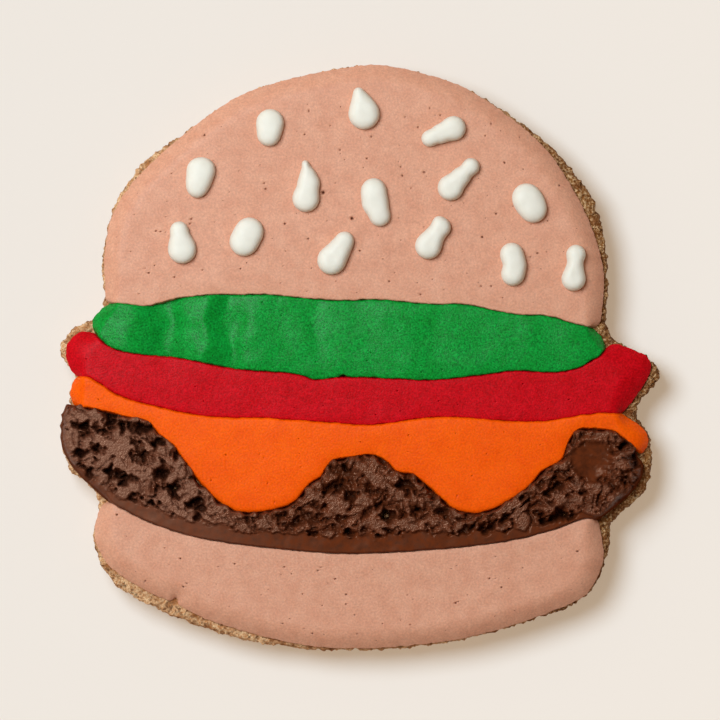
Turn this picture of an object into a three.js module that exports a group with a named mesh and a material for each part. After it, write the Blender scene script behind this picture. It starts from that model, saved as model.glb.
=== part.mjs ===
// A biscuit cut in the shape of a hamburger and decorated with pools of set
// royal icing. It lies flat with the icing up: +X is the right end of the bun,
// +Y is its crown and +Z stands out of the icing. Millimetres.
import * as THREE from 'three';

// Driving dimensions.
const BISCUIT_THICKNESS = 8;
const BISCUIT_TOP_ROUND = 0.9;
const BISCUIT_TOP_BEVEL = 0.27;
const BISCUIT_BASE_ROUND = 0.6;
const SEAM_GAP = 0.3;
const BUN_ICING_HEIGHT = 2.3;
const LETTUCE_HEIGHT = 2.6;
const TOMATO_HEIGHT = 2.1;
const CHEESE_HEIGHT = 2.6;
const PATTY_HEIGHT = 2.5;
const PATTY_CRUMB_HEIGHT = 0.6;
const PATTY_CRUMB_SIZE = 3.4;
const SEED_HEIGHT = 1.5;
const SEED_LOBE_BLEND = 0.4;

// How far the edge of a pool rounds over before it is level.
const POOL_RIM = 1.7;
const PATTY_RIM = 4.6;
const SEED_RIM = 2;

// Steps that a rounded edge is made in, crowded towards the foot by a power.
const POOL_RIM_STEPS = 3;
const PATTY_RIM_STEPS = 5;
const SEED_RIM_STEPS = 3;
const RIM_CROWDING = 1.6;

// Facets: the longest side and the sharpest corner along an outline.
const POOL_FACET = { side: 3.1, turn: THREE.MathUtils.degToRad(27) };
const BISCUIT_FACET = { side: 3.3, turn: THREE.MathUtils.degToRad(27) };
const SEED_FACET = { side: 1.9, turn: THREE.MathUtils.degToRad(30) };

// Seams between two pools and the free edges round them, each from left to
// right, as points that a smooth curve passes through. The ends of a pool run
// downwards on the left and upwards on the right.
const CROWN_EDGE = [
  [-41.4, 9.8], [-42, 13], [-41.8, 18], [-40.5, 24.2], [-37, 29.6], [-30, 36.5],
  [-20, 43.6], [-15, 45.5], [-8, 47.3], [2.7, 48.9], [10, 47.7], [17.7, 45.2],
  [22.4, 42.4], [31, 35.4], [34.7, 30.4], [38.7, 22.8], [40.8, 15], [40.8, 8],
  [39.9, 5.7],
];
const BUN_LETTUCE_SEAM = [
  [-39.9, 9.1], [-38.4, 8.85], [-35, 8.6], [-30, 9.8], [-24, 10.35], [-15, 10.35],
  [-7.2, 9.7], [-2, 9.4], [2.7, 9.6], [12.8, 8.8], [17.3, 8.85], [22, 8],
  [27, 7.05], [31.5, 6.9], [35, 5.9], [37.2, 5.35], [38.5, 5.1],
];
const LETTUCE_LEFT_END = [[-42, 8.6], [-43.6, 7.3], [-44.3, 5.6], [-43.7, 4.1]];
const LETTUCE_RIGHT_END = [[41.4, 1.6], [41, 2.9], [39.8, 4.4]];
const LETTUCE_TOMATO_SEAM = [
  [-42.6, 2.7], [-41.3, 1.7], [-39, 0.9], [-35, 0.3], [-29, -0.3], [-25, -1.15],
  [-20.5, -2], [-10, -2.9], [-6.9, -3.8], [-3.5, -3.4], [5, -3.55], [12.3, -3.85],
  [20, -3.1], [27, -2.3], [32, -2.6], [36, -2.1], [39, -0.7], [40.6, 0.3],
];
const TOMATO_LEFT_END = [[-44, 3.85], [-46.2, 4.15], [-48.4, 2.2], [-48.5, -0.6], [-47.4, -2.6]];
const TOMATO_RIGHT_END = [[45.1, -8.3], [48.7, -2.6], [48.2, -0.5], [45.4, 1.4], [42.6, 2.05]];
const TOMATO_CHEESE_SEAM = [
  [-46.2, -3.3], [-44.6, -3.5], [-42.7, -4.6], [-40, -6.35], [-35, -7.9], [-25, -9.9],
  [-15, -10.2], [-5, -10.9], [2.7, -11.3], [10, -10.3], [15, -10], [28, -10.8],
  [33.3, -10.45], [38.7, -9.5], [42, -9.35], [43.6, -9.5],
];
const CHEESE_LEFT_END = [[-47.4, -4.1], [-48, -6], [-47.3, -7.9], [-46.4, -8.45]];
const CHEESE_RIGHT_END = [[46.6, -15.6], [47.6, -15.9], [48.7, -14.2], [47.9, -12.2], [46, -10.6]];
const CHEESE_PATTY_SEAM = [
  [-45, -8.5], [-43.5, -8.8], [-38.1, -10.1], [-34.9, -10.8], [-33.1, -12.9],
  [-30.8, -14.7], [-28.7, -17.6], [-26, -21.2], [-23.4, -23.8], [-20.6, -25.5],
  [-17.9, -25.95], [-10.9, -24.4], [-8, -21.2], [-6.1, -20], [-4.2, -17.3],
  [-1.4, -16.8], [2.1, -16.3], [4.8, -17.3], [6.5, -19], [9.1, -19.6], [12, -21.7],
  [16.7, -25.6], [21.3, -25.8], [28.5, -21.7], [30.7, -19.1], [34.1, -17.1],
  [35.3, -14], [36.8, -12.2], [40, -12], [42.7, -12.5], [44.6, -13.8], [45.8, -14.85],
];
const PATTY_LEFT_END = [[-46.6, -8.45], [-48.4, -9.2], [-49.3, -12.5], [-47.9, -17.5], [-42.6, -23.1]];
const PATTY_RIGHT_END = [[41, -26.4], [46.2, -21.5], [47.3, -18], [46.8, -16.3]];
const PATTY_BUN_SEAM = [
  [-41, -24.35], [-39.5, -25.2], [-35, -27.4], [-28, -29.8], [-20, -31.2], [-12, -32.1],
  [-3, -32.8], [5, -32.6], [15, -31.9], [25, -30.7], [33, -28.7], [36.6, -27.3],
  [38.2, -26.85], [39.5, -27],
];
const HEEL_EDGE = [
  [-42.4, -24.6], [-43.5, -27], [-43.7, -30.6], [-41.8, -34.7], [-35, -39.4], [-31, -41.1],
  [-25, -44], [-10, -48.1], [0, -48.8], [10, -48.2], [20, -46.6], [35, -41.6],
  [38.8, -39.2], [41.3, -33.2], [40.7, -29.3], [40.5, -27.9],
];
const BISCUIT_EDGE = [
  [-47.2, -3], [-48.1, -6.2], [-47.9, -8], [-49.3, -13], [-48.3, -18.2], [-43.2, -23.4],
  [-44, -30], [-41.5, -36.9], [-35, -41.2], [-25, -45.5], [-15, -47.9], [-3, -48.9],
  [12, -48.1], [25.3, -45.1], [36.5, -41], [40.1, -37.2], [41.9, -31.5], [42.4, -27.7],
  [48.1, -22], [49.1, -17.5], [48.5, -12.8], [46.6, -9.6], [47.1, -7.4], [50.4, -3.2], [49.2, -0.4],
  [43, 3], [41.6, 5.5], [41.8, 14.2], [39.8, 25.2], [35, 32.6], [27.3, 39.4],
  [17.5, 45.3], [2.7, 48.8], [-12, 46.4], [-20, 43.6], [-36, 31.7], [-40.6, 25],
  [-42.5, 16.3], [-42.4, 9], [-44.4, 6.4], [-47.4, 5], [-49.9, 1.2],
];

// Each piped seed is a row of drops run together: [x, y, radius].
const SEEDS = [
  [[-14.55, 39, 2.3], [-14.75, 37, 1.9]],
  [[-26.05, 31, 2.3], [-26.4, 29.3, 1.95], [-26.75, 28.3, 1.75]],
  [[1.1, 40.5, 2.6], [0.65, 42.6, 1.5], [0.15, 44.1, 0.75]],
  [[16, 38.1, 2.05], [13.9, 37.2, 1.6], [12, 36.4, 1.35]],
  [[-8.6, 26.4, 2.25], [-8.1, 28.9, 1.85], [-8.3, 30.6, 1.1], [-8.7, 32.2, 0.55]],
  [[2.7, 27.7, 2.1], [2.95, 25.7, 2.2], [3.75, 23.5, 1.75]],
  [[15.5, 28.2, 2.15], [17.2, 30, 1.6], [18.9, 31.7, 1.45]],
  [[28.1, 26.6, 2.3], [28.75, 25.6, 2.3], [29.35, 24.5, 2.1]],
  [[-29.7, 21.1, 1.5], [-29.4, 19.3, 1.6], [-29.2, 17.9, 2.35]],
  [[-18, 20.9, 2.35], [-18.9, 19.2, 2.4]],
  [[-4.3, 16.1, 2.4], [-3, 17.9, 1.85], [-2.1, 19.4, 1.5]],
  [[11.8, 18.5, 2.2], [12.8, 20.2, 1.55], [14, 21.6, 1.55], [13.5, 22.6, 0.7]],
  [[25.7, 17.1, 1.95], [26.5, 15.4, 1.6], [25.9, 13.8, 1.95]],
  [[36.4, 17.1, 1.6], [36.2, 15, 1.3], [36, 13, 2]],
];

// Colours of the baked crumb and of the coloured icings.
const CRUMB_BROWN = 0xb98c60;
const BUN_PEACH = 0xd89d81;
const LETTUCE_GREEN = 0x1f8c3a;
const TOMATO_RED = 0xba161e;
const CHEESE_ORANGE = 0xee5613;
const PATTY_BROWN = 0x4c2517;
const SEED_WHITE = 0xf5f0e4;

// Roughness: dry crumb, matt icing, and the shinier patty and seeds.
const CRUMB_ROUGHNESS = 0.9;
const ICING_ROUGHNESS = 0.45;
const PATTY_ROUGHNESS = 0.4;
const SEED_ROUGHNESS = 0.3;

// The four lines round a pool joined into one closed line, anticlockwise.
function pipedLine(lower, rightEnd, upper, leftEnd) {
  return [...lower, ...rightEnd, ...[...upper].reverse(), ...leftEnd];
}

// A smooth closed curve through the points, cut into sides that shorten where
// the curve is tight: every side uses up the same share of length and turning.
function facetedCurve(points, facet) {
  const stepsBetweenPoints = 12;
  const knots = points.map(([x, y]) => new THREE.Vector3(x, y, 0));
  const curve = new THREE.CatmullRomCurve3(knots, true, 'centripetal');
  const fine = curve.getPoints(points.length * stepsBetweenPoints);
  const count = fine.length - 1;
  const spent = [0];
  for (let i = 0; i < count; i += 1) {
    const arriving = fine[i].clone().sub(fine[(i + count - 1) % count]);
    const leaving = fine[i + 1].clone().sub(fine[i]);
    const cost = leaving.length() / facet.side + arriving.angleTo(leaving) / facet.turn;
    spent.push(spent[i] + cost);
  }
  const sides = Math.ceil(spent[count]);
  const outline = [];
  let i = 0;
  for (let side = 0; side < sides; side += 1) {
    const target = (spent[count] * side) / sides;
    while (spent[i + 1] <= target) {
      i += 1;
    }
    const along = (target - spent[i]) / (spent[i + 1] - spent[i]);
    const corner = fine[i].clone().lerp(fine[i + 1], along);
    outline.push(new THREE.Vector2(corner.x, corner.y));
  }
  return outline;
}

// Unit vectors that point into an anticlockwise outline at each corner.
function inwardNormals(outline) {
  const count = outline.length;
  return outline.map((corner, i) => {
    const before = outline[(i + count - 1) % count];
    const after = outline[(i + 1) % count];
    const along = after.clone().sub(before).normalize();
    return new THREE.Vector2(-along.y, along.x);
  });
}

function movedInwards(outline, distance) {
  const normals = inwardNormals(outline);
  return outline.map((corner, i) => corner.clone().addScaledVector(normals[i], distance));
}

// How far each corner may move inwards: up to the limit, or most of the way to
// the centre of the largest circle that touches the outline there.
function roomInside(outline, limit) {
  const shareOfCircle = 0.62;
  const normals = inwardNormals(outline);
  return outline.map((corner, i) => {
    let room = limit;
    for (const other of outline) {
      const across = other.clone().sub(corner);
      const depth = across.dot(normals[i]);
      if (depth > 0) {
        room = Math.min(room, (shareOfCircle * across.lengthSq()) / (2 * depth));
      }
    }
    return room;
  });
}

// A closed solid from rings of equal count, stacked from the flat bottom one
// to the top one.
function stackOfRings(rings) {
  const count = rings[0].length;
  const positions = rings.flat().flatMap((corner) => corner.toArray());
  const faces = [];
  for (let level = 0; level < rings.length - 1; level += 1) {
    for (let i = 0; i < count; i += 1) {
      const next = (i + 1) % count;
      const lower = level * count;
      const upper = lower + count;
      faces.push([lower + i, lower + next, upper + next], [lower + i, upper + next, upper + i]);
    }
  }
  const flat = (ring) => ring.map((corner) => new THREE.Vector2(corner.x, corner.y));
  const topStart = (rings.length - 1) * count;
  for (const [a, b, c] of THREE.ShapeUtils.triangulateShape(flat(rings[0]), [])) {
    faces.push([c, b, a]);
  }
  for (const [a, b, c] of THREE.ShapeUtils.triangulateShape(flat(rings.at(-1)), [])) {
    faces.push([topStart + a, topStart + b, topStart + c]);
  }
  const geometry = new THREE.BufferGeometry();
  geometry.setAttribute('position', new THREE.Float32BufferAttribute(positions, 3));
  geometry.setIndex(faces.flat());
  geometry.computeVertexNormals();
  return geometry;
}

// A pool with a flat foot, an edge that rounds over as a quarter ellipse, and
// a level top. The relief adds to the height and fades out at the edge.
function pool(foot, base, height, rim, steps, relief = () => 0) {
  const normals = inwardNormals(foot);
  const room = roomInside(foot, rim);
  const rings = [];
  for (let step = 0; step <= steps; step += 1) {
    const inwards = (step / steps) ** RIM_CROWDING;
    const rise = height * Math.sqrt(1 - (1 - inwards) ** 2);
    rings.push(foot.map((corner, i) => {
      const moved = corner.clone().addScaledVector(normals[i], room[i] * inwards);
      return new THREE.Vector3(moved.x, moved.y, base + rise + inwards * relief(moved.x, moved.y));
    }));
  }
  return stackOfRings(rings);
}

function icing(name, line, height, colour) {
  const foot = movedInwards(facetedCurve(line, POOL_FACET), SEAM_GAP / 2);
  const geometry = pool(foot, BISCUIT_THICKNESS, height, POOL_RIM, POOL_RIM_STEPS);
  return solid(name, geometry, colour, ICING_ROUGHNESS);
}

function solid(name, geometry, colour, roughness) {
  const material = new THREE.MeshStandardMaterial({ color: colour, roughness, metalness: 0 });
  const mesh = new THREE.Mesh(geometry, material);
  mesh.name = name;
  return mesh;
}

// The baked biscuit: upright sides with a rounded top edge and a tighter base.
function biscuit() {
  const outline = facetedCurve(BISCUIT_EDGE, BISCUIT_FACET);
  const sections = [
    [BISCUIT_BASE_ROUND, 0],
    [0, BISCUIT_BASE_ROUND],
    [0, BISCUIT_THICKNESS - BISCUIT_TOP_ROUND],
    [BISCUIT_TOP_BEVEL, BISCUIT_THICKNESS - BISCUIT_TOP_BEVEL],
    [BISCUIT_TOP_ROUND, BISCUIT_THICKNESS],
  ];
  const rings = sections.map(([inwards, z]) => {
    const ring = movedInwards(outline, inwards);
    return ring.map((corner) => new THREE.Vector3(corner.x, corner.y, z));
  });
  return solid('biscuit', stackOfRings(rings), CRUMB_BROWN, CRUMB_ROUGHNESS);
}

// The patty's crumbly top: ridges and hollows about as wide as a crumb, whose
// rows sway by up to these angles, in radians.
function crumbRelief(x, y) {
  const turnsAcross = (2 * Math.PI) / PATTY_CRUMB_SIZE;
  const swayOfColumns = 1.7 * Math.sin(0.8 * y);
  const swayOfRows = 2.1 * Math.sin(0.6 * x);
  const along = Math.sin(turnsAcross * x + swayOfColumns);
  const across = Math.sin(turnsAcross * y + swayOfRows);
  return PATTY_CRUMB_HEIGHT * along * across;
}

function patty() {
  const line = pipedLine(PATTY_BUN_SEAM, PATTY_RIGHT_END, CHEESE_PATTY_SEAM, PATTY_LEFT_END);
  const foot = movedInwards(facetedCurve(line, POOL_FACET), SEAM_GAP / 2);
  const geometry = pool(
    foot, BISCUIT_THICKNESS, PATTY_HEIGHT, PATTY_RIM, PATTY_RIM_STEPS, crumbRelief);
  return solid('patty_icing', geometry, PATTY_BROWN, PATTY_ROUGHNESS);
}

// The distance from a point to the drops of a seed, negative inside: the drops'
// own distances joined by a smooth minimum.
function distanceToDrops(x, y, drops) {
  const near = drops.map(([cx, cy, radius]) => Math.hypot(x - cx, y - cy) - radius);
  const sum = near.reduce((total, d) => total + Math.exp(-d / SEED_LOBE_BLEND), 0);
  return -SEED_LOBE_BLEND * Math.log(sum);
}

// A seed's outline: points found on rays from its middle by halving the
// interval, and then cut into facets.
function seedOutline(drops) {
  const rays = 48;
  const longestRay = 8;
  const halvings = 20;
  const middleX = drops.reduce((total, [x]) => total + x, 0) / drops.length;
  const middleY = drops.reduce((total, [, y]) => total + y, 0) / drops.length;
  const points = [];
  for (let k = 0; k < rays; k += 1) {
    const angle = (2 * Math.PI * k) / rays;
    const onRay = (r) => [middleX + r * Math.cos(angle), middleY + r * Math.sin(angle)];
    let inside = 0;
    let outside = longestRay;
    for (let i = 0; i < halvings; i += 1) {
      const half = (inside + outside) / 2;
      if (distanceToDrops(...onRay(half), drops) < 0) {
        inside = half;
      } else {
        outside = half;
      }
    }
    points.push(onRay(inside));
  }
  return facetedCurve(points, SEED_FACET);
}

function seed(drops, index) {
  const bunTop = BISCUIT_THICKNESS + BUN_ICING_HEIGHT;
  const geometry = pool(seedOutline(drops), bunTop, SEED_HEIGHT, SEED_RIM, SEED_RIM_STEPS);
  return solid(`seed_${String(index + 1).padStart(2, '0')}`, geometry, SEED_WHITE, SEED_ROUGHNESS);
}

const BUN_TOP_LINE = pipedLine(BUN_LETTUCE_SEAM, [], CROWN_EDGE, []);
const LETTUCE_LINE = pipedLine(
  LETTUCE_TOMATO_SEAM, LETTUCE_RIGHT_END, BUN_LETTUCE_SEAM, LETTUCE_LEFT_END);
const TOMATO_LINE = pipedLine(
  TOMATO_CHEESE_SEAM, TOMATO_RIGHT_END, LETTUCE_TOMATO_SEAM, TOMATO_LEFT_END);
const CHEESE_LINE = pipedLine(
  CHEESE_PATTY_SEAM, CHEESE_RIGHT_END, TOMATO_CHEESE_SEAM, CHEESE_LEFT_END);
const BUN_BOTTOM_LINE = pipedLine(HEEL_EDGE, [], PATTY_BUN_SEAM, []);

const group = new THREE.Group();
group.add(biscuit());
group.add(icing('bun_top_icing', BUN_TOP_LINE, BUN_ICING_HEIGHT, BUN_PEACH));
group.add(icing('lettuce_icing', LETTUCE_LINE, LETTUCE_HEIGHT, LETTUCE_GREEN));
group.add(icing('tomato_icing', TOMATO_LINE, TOMATO_HEIGHT, TOMATO_RED));
group.add(icing('cheese_icing', CHEESE_LINE, CHEESE_HEIGHT, CHEESE_ORANGE));
group.add(patty());
group.add(icing('bun_bottom_icing', BUN_BOTTOM_LINE, BUN_ICING_HEIGHT, BUN_PEACH));
SEEDS.forEach((drops, index) => group.add(seed(drops, index)));

// The origin is under the middle of the biscuit's box.
const middle = new THREE.Box3().setFromObject(group).getCenter(new THREE.Vector3());
group.position.set(-middle.x, -middle.y, 0);

export default group;
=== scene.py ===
import itertools
import math

import bpy
import numpy as np
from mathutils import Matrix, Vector


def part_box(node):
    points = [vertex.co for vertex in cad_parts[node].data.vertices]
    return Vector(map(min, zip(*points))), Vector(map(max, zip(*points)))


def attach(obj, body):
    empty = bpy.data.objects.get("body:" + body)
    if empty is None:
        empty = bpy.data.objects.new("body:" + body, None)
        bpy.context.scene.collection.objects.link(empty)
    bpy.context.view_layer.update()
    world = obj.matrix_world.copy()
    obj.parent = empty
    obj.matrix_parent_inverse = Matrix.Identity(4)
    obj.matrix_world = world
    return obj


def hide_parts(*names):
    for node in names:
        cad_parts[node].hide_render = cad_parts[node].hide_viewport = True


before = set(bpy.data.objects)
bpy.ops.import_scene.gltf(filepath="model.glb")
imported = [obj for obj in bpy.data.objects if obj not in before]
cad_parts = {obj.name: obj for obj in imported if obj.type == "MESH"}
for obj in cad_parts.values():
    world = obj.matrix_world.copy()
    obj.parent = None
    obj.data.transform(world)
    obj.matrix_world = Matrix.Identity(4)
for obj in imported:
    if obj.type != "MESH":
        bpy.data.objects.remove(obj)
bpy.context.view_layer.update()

# ---------------------------------------------------------------------------
# Table, light and camera.
# The biscuit lies on a plain pale table of milky acrylic, and is looked at from straight above. The table
# glows faintly of itself, a painted glow that stands in for light from below and lightens the shadows on
# it. A broad cool light stands close by at the upper left, and warm light comes from the whole room, so
# shadows are short, soft and warm.

MM = 0.001
TABLE_COLOUR = 0xEFECE7
TABLE_GLOW_COLOUR = 0xEFD4B4
TABLE_GLOW = 0.405
TABLE_TONE = 0.575
TABLE_PALEST = 0.86
TABLE_NEAR_LIGHT = 0.6
ROOM_PART = 0.22
TABLE_HALF = 4.0
ROOM_COLOUR = 0xFFE8D2
ROOM_AT_HORIZON = 0.4
ROOM_AT_LEFT = 1.3
ROOM_AT_RIGHT = 0.7
WALL_GLOW = 0.5
WALL_FULL_BELOW = 0.035
WALL_ENDS_AT = 0.06
ROOM_OVERHEAD = 0.2
KEY_COLOUR = 0xE1F1FF
KEY_STRENGTH = 3.86
KEY_DISTANCE = 0.5
KEY_SIZE = 0.26
KEY_AZIMUTH = math.radians(142)
KEY_ELEVATION = math.radians(64)
VIEW_WIDTH = 120 * MM
VIEW_DISTANCE = 0.9
VIEW_CENTRE = Vector((0.15 * MM, -0.45 * MM, 10.3 * MM))
SENSOR_WIDTH = 36
key_place = KEY_DISTANCE * Vector((
    math.cos(KEY_ELEVATION) * math.cos(KEY_AZIMUTH),
    math.cos(KEY_ELEVATION) * math.sin(KEY_AZIMUTH),
    math.sin(KEY_ELEVATION)))


def linear(hex_colour):
    """An sRGB hex colour as linear RGBA: c / 12.92 for dark channels, and
    ((c + 0.055) / 1.055) to the power 2.4 for the others."""
    channels = np.array([(hex_colour >> shift) & 255 for shift in (16, 8, 0)]) / 255
    light = np.where(channels < 0.04045, channels / 12.92, ((channels + 0.055) / 1.055) ** 2.4)
    return (*light.tolist(), 1.0)


def add_node(tree, kind, inputs=None, **settings):
    """Adds a shader node. Its settings are set, and each input is either set to
    a value or, where a socket is given, linked to it."""
    node = tree.nodes.new("ShaderNode" + kind)
    for name, value in settings.items():
        setattr(node, name, value)
    for name, value in (inputs or {}).items():
        if isinstance(value, bpy.types.NodeSocket):
            tree.links.new(value, node.inputs[name])
        else:
            node.inputs[name].default_value = value
    return node


def new_material(name):
    """An empty node material: its tree and its output node."""
    material = bpy.data.materials.new(name)
    material.use_nodes = True
    tree = material.node_tree
    tree.nodes.clear()
    return material, tree, tree.nodes.new("ShaderNodeOutputMaterial")


def table_paint():
    """Milky acrylic: matt, with a faint glow of its own. Its tone gets paler
    away from the key light, as 1 / (room + key (d0 / d) ** 3), so that the
    table looks evenly lit although the light stands close by. Where it can
    get no paler, it glows more instead, and far from the light its warm glow
    turns neutral."""
    material, tree, output = new_material("table_milky_acrylic")
    place = add_node(tree, "TexCoord").outputs["Object"]
    away = add_node(tree, "VectorMath", {0: place, 1: tuple(key_place)}, operation="DISTANCE")
    nearness = add_node(tree, "Math", {
        0: KEY_DISTANCE, 1: away.outputs["Value"]}, operation="DIVIDE")
    falloff = add_node(tree, "Math", {0: nearness.outputs[0], 1: 3.0}, operation="POWER")
    received = add_node(tree, "Math", {
        0: falloff.outputs[0], 1: 1 - ROOM_PART, 2: ROOM_PART}, operation="MULTIPLY_ADD")
    tone = add_node(tree, "Math", {0: TABLE_TONE, 1: received.outputs[0]}, operation="DIVIDE")
    palest = add_node(tree, "Math", {0: tone.outputs[0], 1: TABLE_PALEST}, operation="MINIMUM")
    reached = add_node(tree, "Math", {
        0: palest.outputs[0], 1: received.outputs[0]}, operation="MULTIPLY")
    glow = add_node(tree, "Math", {
        0: TABLE_TONE + TABLE_GLOW, 1: reached.outputs[0]}, operation="SUBTRACT")
    remote = add_node(tree, "MapRange", {
        "Value": received.outputs[0], "From Min": ROOM_PART, "From Max": TABLE_NEAR_LIGHT,
        "To Min": 1.0, "To Max": 0.0})
    glow_colour = add_node(tree, "Mix", {
        0: remote.outputs[0], 6: linear(TABLE_GLOW_COLOUR), 7: linear(TABLE_COLOUR)}, data_type="RGBA")
    tinted = add_node(tree, "Mix", {
        0: 1.0, 6: linear(TABLE_COLOUR), 7: palest.outputs[0]}, data_type="RGBA", blend_type="MULTIPLY")
    shader = add_node(tree, "BsdfPrincipled", {
        "Base Color": tinted.outputs[2], "Roughness": 0.9, "Specular IOR Level": 0.1,
        "Emission Color": glow_colour.outputs[2], "Emission Strength": glow.outputs[0]})
    tree.links.new(shader.outputs[0], output.inputs["Surface"])
    return material


table_mesh = bpy.data.meshes.new("table")
table_mesh.from_pydata(
    [(-TABLE_HALF, -TABLE_HALF, 0), (TABLE_HALF, -TABLE_HALF, 0),
     (TABLE_HALF, TABLE_HALF, 0), (-TABLE_HALF, TABLE_HALF, 0)], [], [(0, 1, 2, 3)])
table_mesh.materials.append(table_paint())
table = bpy.data.objects.new("table", table_mesh)
bpy.context.scene.collection.objects.link(table)

# The room is brightest at the height of the table, where its far wall is pale,
# dim overhead, and dimmer at its right side than at its left.
room = bpy.data.worlds.new("room")
room.use_nodes = True
room_light = room.node_tree.nodes["Background"]
direction = add_node(room.node_tree, "TexCoord").outputs["Generated"]
upwards = add_node(room.node_tree, "SeparateXYZ", {0: direction})
strength = add_node(room.node_tree, "MapRange", {
    "Value": upwards.outputs["Z"], "To Min": ROOM_AT_HORIZON, "To Max": ROOM_OVERHEAD})
wall = add_node(room.node_tree, "MapRange", {
    "Value": upwards.outputs["Z"], "From Min": WALL_FULL_BELOW, "From Max": WALL_ENDS_AT,
    "To Min": 1.0, "To Max": 0.0})
side = add_node(room.node_tree, "MapRange", {
    "Value": upwards.outputs["X"], "From Min": -1.0, "From Max": 1.0,
    "To Min": ROOM_AT_LEFT, "To Max": ROOM_AT_RIGHT})
sided = add_node(room.node_tree, "Math", {
    0: strength.outputs[0], 1: side.outputs[0]}, operation="MULTIPLY")
total = add_node(room.node_tree, "Math", {
    0: wall.outputs[0], 1: WALL_GLOW, 2: sided.outputs[0]}, operation="MULTIPLY_ADD")
room_tone = add_node(room.node_tree, "Mix", {
    0: wall.outputs[0], 6: linear(ROOM_COLOUR), 7: linear(TABLE_COLOUR)}, data_type="RGBA")
room.node_tree.links.new(room_tone.outputs[2], room_light.inputs["Color"])
room.node_tree.links.new(total.outputs[0], room_light.inputs["Strength"])
bpy.context.scene.world = room

key_data = bpy.data.lights.new("key", "AREA")
key_data.shape = "DISK"
key_data.size = KEY_SIZE
key_data.color = linear(KEY_COLOUR)[:3]
key_data.energy = KEY_STRENGTH * math.pi * KEY_DISTANCE ** 2
key = bpy.data.objects.new("key", key_data)
key.location = key_place
key.rotation_euler = (-key_place).to_track_quat("-Z", "Y").to_euler()
key.visible_camera = False
bpy.context.scene.collection.objects.link(key)

camera_data = bpy.data.cameras.new("camera")
camera_data.sensor_width = SENSOR_WIDTH
camera_data.lens = SENSOR_WIDTH * VIEW_DISTANCE / VIEW_WIDTH
camera_data.clip_start = 0.01
camera_data.clip_end = 20
camera = bpy.data.objects.new("camera", camera_data)
camera.location = VIEW_CENTRE + Vector((0, 0, VIEW_DISTANCE))
bpy.context.scene.collection.objects.link(camera)
bpy.context.scene.camera = camera
bpy.context.scene.view_settings.view_transform = "Standard"
bpy.context.scene.view_settings.look = "None"

# ---------------------------------------------------------------------------
# The biscuit. From here on shapes are worked out in millimetres.
# A slab of rolled dough with coarse meal in it, cut out with a shaped cutter
# and baked hard. Its cut side is grainy and full of small holes, and the
# cutter has rounded its upper edge.

BISCUIT_STEPS_ROUND = 2000
BISCUIT_TOP_ROUND = 1.1
BISCUIT_BASE_ROUND = 0.6
RIM_SHARE = 0.8
SIDE_ROWS = 22
TOP_EDGE_ROWS = 7
BASE_EDGE_ROWS = 3
TOP_ROWS = 13
BASE_ROWS = 5
SWELL = 0.42
SWELL_AT_CROWN = 0.12
SHOULDER = np.array([-35.8, 32.8])
SHOULDER_REACH = 5.0
SHOULDER_SWELL = 0.6
CRUMB_SIZE = 2.4
CRUMB_DEPTH = 0.6
TORN_SIZE = 0.9
TORN_DEPTH = 0.5
GRAIN_SIZE = 0.5
GRAIN_DEPTH = 0.3
DRAG = 3.0
GRAIN_DRAG = 1.6
PORE_SPACING = 1.3
PORE_RADIUS = 0.48
PORE_DEPTH = 0.8
PORES_MISSING = 0.35
LID_CROWDING = 2.4
SOLE_CROWDING = 1.5
LID_GRAIN_DEPTH = 0.2
LID_POLE_DEPTH = 0.3
# Where the painted shade along the right side, which faces away from the light, starts and where it is
# full.
RIGHT_SHADE_FROM_X = 10
RIGHT_SHADE_FULL_X = 40


def cad_line(node, height):
    """The closed line where a CAD solid's wall starts at a height: its corners
    (n, 2), anticlockwise. Each wall triangle with two corners at that height
    and its third above gives one side, and following sides from corner to
    corner is done by doubling: a run of sides is followed by as many again."""
    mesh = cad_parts[node].data
    places = np.empty(len(mesh.vertices) * 3, dtype=np.float32)
    mesh.vertices.foreach_get("co", places)
    mesh.calc_loop_triangles()
    corners = np.empty(len(mesh.loop_triangles) * 3, dtype=np.int32)
    mesh.loop_triangles.foreach_get("vertices", corners)
    triangles = places.reshape(-1, 3)[corners].reshape(-1, 3, 3) / MM
    tolerance = 0.02
    level = np.abs(triangles[:, :, 2] - height) < tolerance
    wall = (level.sum(axis=1) == 2) & (triangles[:, :, 2].max(axis=1) > height + tolerance)
    triangles = triangles[wall]
    apex = np.argmin(level[wall], axis=1)
    rows = np.arange(len(apex))
    starts = triangles[rows, (apex + 1) % 3, :2]
    ends = triangles[rows, (apex + 2) % 3, :2]
    both = np.round(np.concatenate([starts, ends]) * 1000).astype(np.int64)
    places, which = np.unique(both, axis=0, return_inverse=True)
    which = which.reshape(2, -1)
    following = np.empty(len(places), dtype=np.int64)
    following[which[0]] = which[1]
    order = np.zeros(1, dtype=np.int64)
    while len(order) < len(places):
        order = np.concatenate([order, following[order]])
        following = following[following]
    return places[order[:len(places)]] / 1000


def even_loop(line, step):
    """The same closed line with points at even steps of its length."""
    closed = np.concatenate([line, line[:1]])
    run = np.concatenate([[0], np.cumsum(np.linalg.norm(np.diff(closed, axis=0), axis=1))])
    places = np.linspace(0, run[-1], max(8, round(run[-1] / step)), endpoint=False)
    return np.stack([np.interp(places, run, closed[:, k]) for k in (0, 1)], axis=1)


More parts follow.
